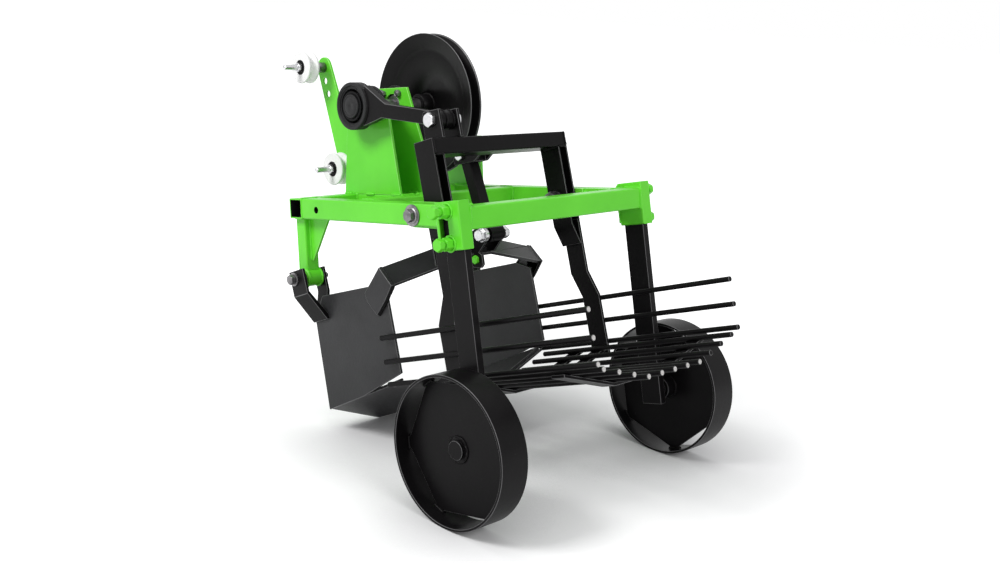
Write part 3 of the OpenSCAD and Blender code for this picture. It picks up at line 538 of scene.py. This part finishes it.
bm = bmesh.new()
m = STAND @ at(LINK_LOW)
stud(bm, m, 33.2, -38.2, 14, thread=14, pitch=2)
hexagon(bm, m, 33, 8.82, 21)
hexagon(bm, m, -24, 11.2, 21, bore=13.6, both_ends=True, out=-1)
washer(bm, m, 24, 33, 28, 13.4)
finish("link_cross_bolt", bm, "share_body", [ZINC], ["link_bolt"], 0.4)
bm = bmesh.new()
m = STAND @ at(TIE)
stud(bm, m, 24.2, 7, 10, thread=9, pitch=1.5)
hexagon(bm, m, 24, 6.3, 15)
hexagon(bm, m, 18, 8, 15, bore=9.7, both_ends=True, out=-1)
finish("tie_bolt", bm, "share_body", [GREEN], (), 0.3)

# Shoulder bolts of the share hangers
bm = bmesh.new()
for m in both(at(HANGER)):
    stud(bm, m, 243, 175, 16)
    stud(bm, m, 175.2, 158.9, 11, thread=15, pitch=1.5)
    washer(bm, m, 240, 243, 28, 15)
    hexagon(bm, m, 243, 9.6, 18)
    hexagon(bm, m, 174.7, 9, 18, bore=10.7, both_ends=True, out=-1)
finish("hanger_hex_bolts", bm, "share_body", [DULL], ["hanger_bolts"], 0.4)

# Long M12 bolts of the belt rollers, and their spacer tubes
bm = bmesh.new()
for p in (UPPER_PIN, LOWER_PIN):
    m = STAND @ at(p)
    lathe(bm, m, [(13, 0), (13, 6), (123.5, 6), (125.6, 5), (126.7, 3.2), (127, 0)], 48)
    hexagon(bm, m, 16, 7.56, 18, out=-1)
    hexagon(bm, m, 85.3, 8.4, 17, bore=11.8, both_ends=True)
finish("roller_long_bolts", bm, "frame", [ZINC], ["roller_bolts"], 0.4)
bm = bmesh.new()
for p in (UPPER_PIN, LOWER_PIN):
    washer(bm, STAND @ at(p), 22, 56.7, 22, 12.3)
finish("roller_spacer_tubes", bm, "frame", [DULL], ["roller_spacers"], 0)

# Bolts of the bearing flanges
bm = bmesh.new()
for x in (NEAR_PLATE[0], FAR_PLATE[0]):
    flange = STAND @ Matrix.Translation((x, 0, 0)) @ MIRROR @ at(SHAFT)
    for k in range(4):
        turn = Matrix.Rotation(radians(45 + 90 * k), 4, "X")
        m = flange @ turn @ Matrix.Translation((0, BEARING_BOLT_R, 0))
        stud(bm, m, 8.2, -15, 10, thread=10, pitch=1.5)
        hexagon(bm, m, 8, 5.3, 13)
        hexagon(bm, m, -6, 8, 13, bore=9.7, both_ends=True, out=-1)
finish("bearing_hex_bolts", bm, "frame", [DULL], ["bearing_bolts"], 0.3)

# Belt rollers, pulley and big end, turned from (x, radius) outlines

for name, p in (("upper_roller", UPPER_PIN), ("lower_roller", LOWER_PIN)):
    bm = bmesh.new()
    m = STAND @ at(p) @ Matrix.Translation((57, 0, 0))
    prof = [(0, 6.05), (0, 31.2), (0.5, 32.8), (1.8, 33.9), (4.6, 34), (5.8, 33.3), (11.6, 25.6),
            (12.6, 25), (15.4, 25), (16.4, 25.6), (22.2, 33.3), (23.4, 34), (26.2, 33.9),
            (27.5, 32.8), (28, 31.2), (28, 16.2), (26.6, 15.6), (26.6, 6.05)]
    lathe(bm, m, prof, 96, True)
    finish("turned_" + name, bm, BODY[name], [NYLON], [name], 0.3)
    bm = bmesh.new()
    lathe(bm, m, [(26.3, 6.4), (27.3, 6.4), (27.3, 9.2), (26.9, 9.6), (26.9, 12.6), (27.3, 13),
                  (27.3, 15.3), (26.3, 15.3)], 72, True)
    finish("roller_bearing_" + name.split("_")[0], bm, BODY[name], [DARK], (), 0)

bm = bmesh.new()
m = STAND @ at(SHAFT) @ Matrix.Translation((-77, 0, 0))
prof = [(3, 22), (3, 109), (3.4, 112.5), (5.4, 117), (6.6, 118.5), (13.6, 143.6), (14.5, 145.6),
        (14.4, 146.7), (13.6, 147), (12.6, 146.4), (11.8, 144.4), (3.2, 119), (1.0, 116.5),
        (0, 116), (0, 22)]
lathe(bm, m, prof, 144, True)
lathe(bm, m, [(-x, r) for x, r in prof], 144, True)
back = m.inverted()
# The outer lips of the rims get the lighter black: a painted highlight along the groove's edge
for f in bm.faces:
    lip_highlight = (back @ f.calc_center_median()).yz.length > 145.2
    f.material_index = int(lip_highlight)
finish("pressed_pulley", bm, "drive_shaft_body", [BLACK, BLACK_HIGHLIGHT], ["pulley"], 0)
bm = bmesh.new()
lathe(bm, m, [(-15, 12.5), (-15, 21), (-14, 22), (29, 22), (30, 21), (30, 12.5)], 72, True)
finish("turned_pulley_hub", bm, "drive_shaft_body", [BLACK], ["pulley_hub"], 0)

bm = bmesh.new()
m = STAND @ at(BIG_END)
lathe(bm, m, [(105, 41.5), (105, 45.6), (106.4, 47), (129.6, 47), (131, 45.6), (131, 41.6),
              (129.4, 40), (106.6, 40)], 120, True)
finish("big_end_ring", bm, "conrod_body", [CAST], ["big_end_housing"], 0)
bm = bmesh.new()
lathe(bm, m, [(108, 34.3), (108, 40), (127.6, 40), (128, 39.4), (128, 37.4), (127.2, 36.8),
              (127.2, 35.4), (128, 34.8), (127.6, 34.3)], 96, True)
# The snap ring: an open ring with an eye at each end
ring = []
for a in range(118, 423, 5):
    c, s = cos(radians(a)), sin(radians(a))
    ring.append([bm.verts.new(m @ Vector((x, r * c, r * s)))
                 for x, r in ((128.2, 37.6), (128.2, 40.4), (129.4, 40.4), (129.4, 37.6))])
skin(bm, list(zip(ring, ring[1:])), 4)
bm.faces.new(ring[0])
bm.faces.new(ring[-1])
for a in (113, 63):
    lathe(bm, m @ Matrix.Rotation(radians(a), 4, "X") @ Matrix.Translation((0, 38.9, 0)),
          [(128.2, 0), (128.2, 2.3), (129.4, 2.3), (129.4, 1.0), (128.6, 0.9), (128.6, 0)], 24)
finish("big_end_race", bm, "conrod_body", [CAST], ["big_end_outer_ring"], 0.2)
bm = bmesh.new()
lathe(bm, m, [(105.2, 27.4), (105.2, 40), (106.6, 40), (106.6, 27.4)], 96, True)
finish("big_end_back_seal", bm, "conrod_body", [DARK], (), 0)
bm = bmesh.new()
lathe(bm, m, [(128.2, 23.3), (128.2, 29.4), (128.8, 29.4), (129.2, 28.6), (129.2, 23.3)], 96, True)
finish("big_end_front_seal", bm, "drive_shaft_body", [DARK], (), 0)
bm = bmesh.new()
lathe(bm, m, [(128, 0), (128, 23.5), (131.6, 23.5), (133, 22), (133, 20.6), (132, 20), (132, 18.8),
              (132.8, 18.2), (132.8, 4.5), (131.8, 3.2), (131.8, 0)], 96)
finish("big_end_cap", bm, "drive_shaft_body", [CAST], ["eccentric_cap"], 0)

# Welds. Each list holds (placings, points, radius, closed). A bead lies a little off the faces
# that it joins, so that half of it shows.

OFF = 0.4               # from a plate's face to the middle of its bead
ONE = [STAND]
LEVEL = both(Matrix.Identity(4))
welds = {"frame": [], "swing_body": [], "share_body": [], "conrod_body": [], "link_body": [],
         "drive_shaft_body": []}


def weld(body, places, pts, r=2.6, closed=False):
    """Notes a bead. All the beads of a body become one piece."""
    welds[body].append((places, pts, r, closed))


# Frame corners, middle tube and the tower's rails
for c in (TUBE - 0.2, FRAME_L - TUBE + 0.2):
    weld("frame", LEVEL, rect("y", c, BEAM_IN, HALF_W, -TUBE, 0, -0.3), 2.0, True)
for c in MID_TUBE:
    weld("frame", LEVEL, [(186.4, c, 0.2), (186.4, c, -40.2)], 3.0)
for z in (0, -TUBE):
    weld("frame", LEVEL, [(186.9, 184, z), (186.9, 220, z)], 2.2)
for x0 in RAILS:
    for c in (TUBE, MID_TUBE[0]):
        weld("frame", ONE, rect("y", c, x0, x0 + RAIL, -RAIL, 0, 0.2), 2.4, True)
# Tower: its plates on the rails, and its web between them
for y0, y1 in ((1, 24), (70, 96), (150, 178)):
    for x, r in ((NEAR_PLATE[1] + OFF, 3.2), (FAR_PLATE[0] - OFF, 3.0)):
        weld("frame", ONE, [(x, y0, 0.6), (x, y1, 0.6)], r)
for y0, y1 in ((52, 78), (130, 158)):
    for x in (NEAR_PLATE[0] - OFF, FAR_PLATE[1] + OFF):
        weld("frame", ONE, [(x, y0, 0.6), (x, y1, 0.6)], 3.0)
weld("frame", ONE, [(FAR_PLATE[1] + 2, -OFF, 0.6), (NEAR_PLATE[0] - 2, -OFF, 0.6)], 3.2)
for x in (NEAR_PLATE[0] - 0.2, FAR_PLATE[1] + 0.2):
    for a, b in ((0.10, 0.24), (0.42, 0.56), (0.76, 0.92)):
        weld("frame", ONE, [(x, 6.4 + TOWER_LEAN * t, TOWER_H * t) for t in (a, b)], 2.4)
for a, b in ((0.16, 0.30), (0.36, 0.50), (0.54, 0.64)):
    weld("frame", ONE, [(FAR_PLATE[0], TOWER_LEAN * t - 0.6, TOWER_H * t) for t in (a, b)], 2.4)
# Sleeves and their nuts
weld("frame", LEVEL, rect("x", 230, 490.5, 529.5, -39.5, -0.5, 0.4), 3.0, True)
weld("frame", both(SLEEVE), [(231, -60.4, 10), (231, -60.4, -66)], 2.2)
for w in CLAMPS:
    weld("frame", both(SLEEVE @ at((POST_MID, w))), circle(258.6, 13.2, 40), 2.2, True)
# Pivot doublers, front legs with their gussets and bushes, upright plate
weld("frame", LEVEL, [(187.6, 332, -40.6), (187.6, 420, -40.6)], 2.8)
for y in (329.6, 422.4):
    weld("frame", LEVEL, [(BEAM_IN - OFF, y, -4), (BEAM_IN - OFF, y, -38)], 2.6)
weld("frame", LEVEL, rect("z", -TUBE - OFF, *LEG, 0, 30, 0.4), 2.6, True)
for x in (GUSSET[0] - OFF, GUSSET[1] + OFF):
    weld("frame", LEVEL, [(x, 30.4, -42), (x, 30.4, -126)], 2.2)
    weld("frame", LEVEL, [(x, 34, -TUBE - OFF), (x, 90, -TUBE - OFF)], 2.2)
for x in (LEG[0] - 0.2, LEG[1] + 0.2):
    weld("frame", both(at(HANGER)), circle(x, 18.7, 40), 2.2, True)
for y0, y1 in ((3, 30), (74, 106)):
    for x in (GUARD[1] + OFF, GUARD[0] - OFF):
        weld("frame", ONE, [(x, y0, 0.5), (x, y1, 0.5)], 2.4)

# Swing frame: leg to crossbar, leg to sieve leg, ears, link bracket, pivot bushes
SW = at(SWING, SWING_LEAN)
SWING_LEG = both(SW)
for start, end, r in (((152.6, -18, 101.8), (152.6, 30, 101.8), 2.6),
                      ((154, -19.4, 101.8), (177, -19.4, 101.8), 2.4),
                      ((175.2, 31.2, 103), (175.2, 31.2, 131), 2.2),
                      ((154, 31.2, 102), (174, 31.2, 102), 2.0),
                      ((178.2, -10, -46), (178.2, 30, -46), 2.2),
                      ((171.6, -11, -95.4), (171.6, 30, -95.4), 2.2)):
    weld("swing_body", SWING_LEG, [start, end], r)
for x in (98.6, 105.4, 143.6, 150.4):
    weld("swing_body", [STAND @ SW], [(x, -17, 132.4), (x, 30, 132.4)], 2.4)
for x in (-19.8, -13.2, 13.2, 19.8):
    weld("swing_body", [STAND @ SW], [(x, -19.4, 104), (x, -19.4, 125)], 2.2)
for x in (152.6, 178.4):
    weld("swing_body", SWING_LEG, circle(x, 17.2, 40), 2.2, True)

# Share: blade to side plate, feet of the arch, ears on the arch; link: its lower barrel
weld("share_body", LEVEL, [(193.6, 66, -425), (193.6, 288, -337.5)], 2.6)
weld("share_body", LEVEL, [(200.6, ARCH[0] + y, ARCH[1] + z) for y, z in FOOT], 2.8)
for x in (17.6, 24.4):
    weld("share_body", both(at(ARCH, ARCH_LEAN)), [(x, 58.2, -19), (x, 58.2, 20)], 2.2)
for x in (-12.8, 12.8):
    weld("link_body", [STAND @ at(LINK_LOW)], circle(x, 15.2, 24, 80, 215), 1.8)

# Connecting rod at both its ends, and the pulley's hub
ROD = at(BIG_END, degrees(atan2(SMALL_END[1] - BIG_END[1], SMALL_END[0] - BIG_END[0])))
for x in (110, 126):
    weld("conrod_body", [STAND @ ROD], circle(x, 47.4, 40, -44, 52), 2.4)
for x in (109.6, 126.4):
    weld("conrod_body", [STAND @ at(SMALL_END)], circle(x, 17.4, 40), 2.0, True)
for x in (-73.8, -80.2):
    weld("drive_shaft_body", [STAND @ at(SHAFT)], circle(x, 22.4, 48), 2.6, True)

for body, lines in welds.items():
    bm = bmesh.new()
    for places, pts, r, closed in lines:
        for m in places:
            bead(bm, m, pts, r, closed)
    finish("welds_" + body, bm, body, [GREEN if body == "frame" else BLACK], (), 0)

# Wheels: the hub on both sides of the web, and the web's six corners on the rim
for side, place, base in (("left", STAND, 4), ("right", STAND @ MIRROR, 37)):
    bm = bmesh.new()
    m = place @ at(WHEEL)
    for x, r in zip(WHEEL_WEB, (2.6, 2.4)):
        bead(bm, m, circle(x, 22.6, 60), r, True)
    for k in range(6):
        a = radians(base + 60 * k)
        turns = [a + t / 128 for t in (-13, -6, 0, 6, 13)]
        for x in WHEEL_WEB:
            bead(bm, m, [(x, RIM_R * cos(t), RIM_R * sin(t)) for t in turns], 3.0)
    finish("welds_wheel_" + side, bm, "wheel_%s_body" % side, [BLACK], (), 0)
    bm = bmesh.new()
    bead(bm, m, circle(248.7, 16.2, 48), 2.2, True)
    finish("welds_post_" + side, bm, "post_%s_body" % side, [BLACK], (), 0)

# Camera, light and floor

# The camera's place, direction and roll are given in the level frame and tipped with the machine
AZ, EL, ROLL = radians(45.3), radians(-8.1), radians(2.0)
EYE = (1585.1, 1964.3, 151.5)
fwd = Vector((-cos(AZ) * cos(EL), -sin(AZ) * cos(EL), sin(EL)))
right = fwd.cross(Vector((0, 0, 1))).normalized()
up = right.cross(fwd)
r2 = cos(ROLL) * right - sin(ROLL) * up
u2 = sin(ROLL) * right + cos(ROLL) * up
tip = Matrix.Rotation(radians(TIP), 3, "X")
cam = bpy.data.objects.new("camera", bpy.data.cameras.new("camera"))
bpy.context.scene.collection.objects.link(cam)
axes = Matrix((tip @ r2, tip @ u2, tip @ -fwd)).transposed().to_4x4()
cam.matrix_world = Matrix.Translation(STAND @ Vector(EYE)) @ axes
cam.data.lens = 42.2
cam.data.sensor_width = 36
bpy.context.scene.camera = cam


AIM = (0, 0, 0.4)


def lamp(name, place, size, watts):
    """A rectangular area light that looks at the middle of the machine."""
    d = bpy.data.lights.new(name, "AREA")
    d.shape = "RECTANGLE"
    d.size, d.size_y = size
    d.energy = watts
    o = bpy.data.objects.new(name, d)
    bpy.context.scene.collection.objects.link(o)
    o.location = place
    o.rotation_euler = (Vector(AIM) - Vector(place)).to_track_quat("-Z", "Y").to_euler()


lamp("key", (2.4, -0.6, 2.6), (1.1, 1.1), 72)
lamp("fill", (0.4, 3.0, 1.8), (2.0, 1.4), 40)


def maths(nt, operation):
    """A new math node."""
    n = nt.nodes.new("ShaderNodeMath")
    n.operation = operation
    return n


def light_path(nt):
    """1 for the rays that should see the plain white surround, 0 for those that carry light."""
    lp = nt.nodes.new("ShaderNodeLightPath")
    a = maths(nt, "MAXIMUM")
    b = maths(nt, "MAXIMUM")
    nt.links.new(lp.outputs["Is Camera Ray"], a.inputs[0])
    nt.links.new(lp.outputs["Is Glossy Ray"], a.inputs[1])
    nt.links.new(a.outputs[0], b.inputs[0])
    nt.links.new(lp.outputs["Is Transmission Ray"], b.inputs[1])
    return b.outputs[0]


world = bpy.data.worlds.new("studio")
bpy.context.scene.world = world
world.use_nodes = True
nt = world.node_tree
nt.nodes.clear()
out = nt.nodes.new("ShaderNodeOutputWorld")
mix = nt.nodes.new("ShaderNodeMixShader")
soft = nt.nodes.new("ShaderNodeBackground")
soft.inputs["Color"].default_value = (0.97, 0.98, 1.0, 1)
soft.inputs["Strength"].default_value = 0.42
white = nt.nodes.new("ShaderNodeBackground")
white.inputs["Color"].default_value = (1, 1, 1, 1)
white.inputs["Strength"].default_value = 1
nt.links.new(light_path(nt), mix.inputs["Fac"])
nt.links.new(soft.outputs[0], mix.inputs[1])
nt.links.new(white.outputs[0], mix.inputs[2])
nt.links.new(mix.outputs[0], out.inputs["Surface"])

# The floor's own glow keeps it white to the horizon. It fades where the machine stands close, so
# that the shadow stays. Ambient occlusion cuts the glow further where the floor meets the machine:
# a painted contact shadow.
GLOW_NEAR, GLOW_FAR = (0.6, 0.42), (1.5, 0.95)      # (distance in m, strength)
CONTACT_SHADE_REACH, CONTACT_SHADE_POWER = 0.28, 3.5

bm = bmesh.new()
bmesh.ops.create_grid(bm, x_segments=8, y_segments=8, size=40)
me = bpy.data.meshes.new("floor")
bm.to_mesh(me)
bm.free()
floor = bpy.data.objects.new("floor", me)
bpy.context.scene.collection.objects.link(floor)
fm = bpy.data.materials.new("floor_white")
fm.use_nodes = True
nt = fm.node_tree
nt.nodes.clear()
out = nt.nodes.new("ShaderNodeOutputMaterial")
dif = nt.nodes.new("ShaderNodeBsdfDiffuse")
dif.inputs["Color"].default_value = (0.80, 0.80, 0.80, 1)
emi = nt.nodes.new("ShaderNodeEmission")
geo = nt.nodes.new("ShaderNodeNewGeometry")
far = nt.nodes.new("ShaderNodeVectorMath")
far.operation = "LENGTH"
rise = nt.nodes.new("ShaderNodeMapRange")
rise.inputs["From Min"].default_value, rise.inputs["To Min"].default_value = GLOW_NEAR
rise.inputs["From Max"].default_value, rise.inputs["To Max"].default_value = GLOW_FAR
nt.links.new(geo.outputs["Position"], far.inputs[0])
nt.links.new(far.outputs["Value"], rise.inputs["Value"])
# Painted contact shadow: ambient occlusion darkens the floor's glow close under the machine
contact_shade = nt.nodes.new("ShaderNodeAmbientOcclusion")
contact_shade.inputs["Distance"].default_value = CONTACT_SHADE_REACH
deep = maths(nt, "POWER")
deep.inputs[1].default_value = CONTACT_SHADE_POWER
glow = maths(nt, "MULTIPLY")
nt.links.new(contact_shade.outputs["AO"], deep.inputs[0])
nt.links.new(deep.outputs[0], glow.inputs[0])
nt.links.new(rise.outputs["Result"], glow.inputs[1])
nt.links.new(glow.outputs[0], emi.inputs["Strength"])
dark = nt.nodes.new("ShaderNodeEmission")
dark.inputs["Strength"].default_value = 0.0
pick = nt.nodes.new("ShaderNodeMixShader")
add = nt.nodes.new("ShaderNodeAddShader")
nt.links.new(light_path(nt), pick.inputs["Fac"])
nt.links.new(dark.outputs[0], pick.inputs[1])
nt.links.new(emi.outputs[0], pick.inputs[2])
nt.links.new(dif.outputs[0], add.inputs[0])
nt.links.new(pick.outputs[0], add.inputs[1])
nt.links.new(add.outputs[0], out.inputs["Surface"])
me.materials.append(fm)

bpy.context.scene.view_settings.view_transform = "Standard"
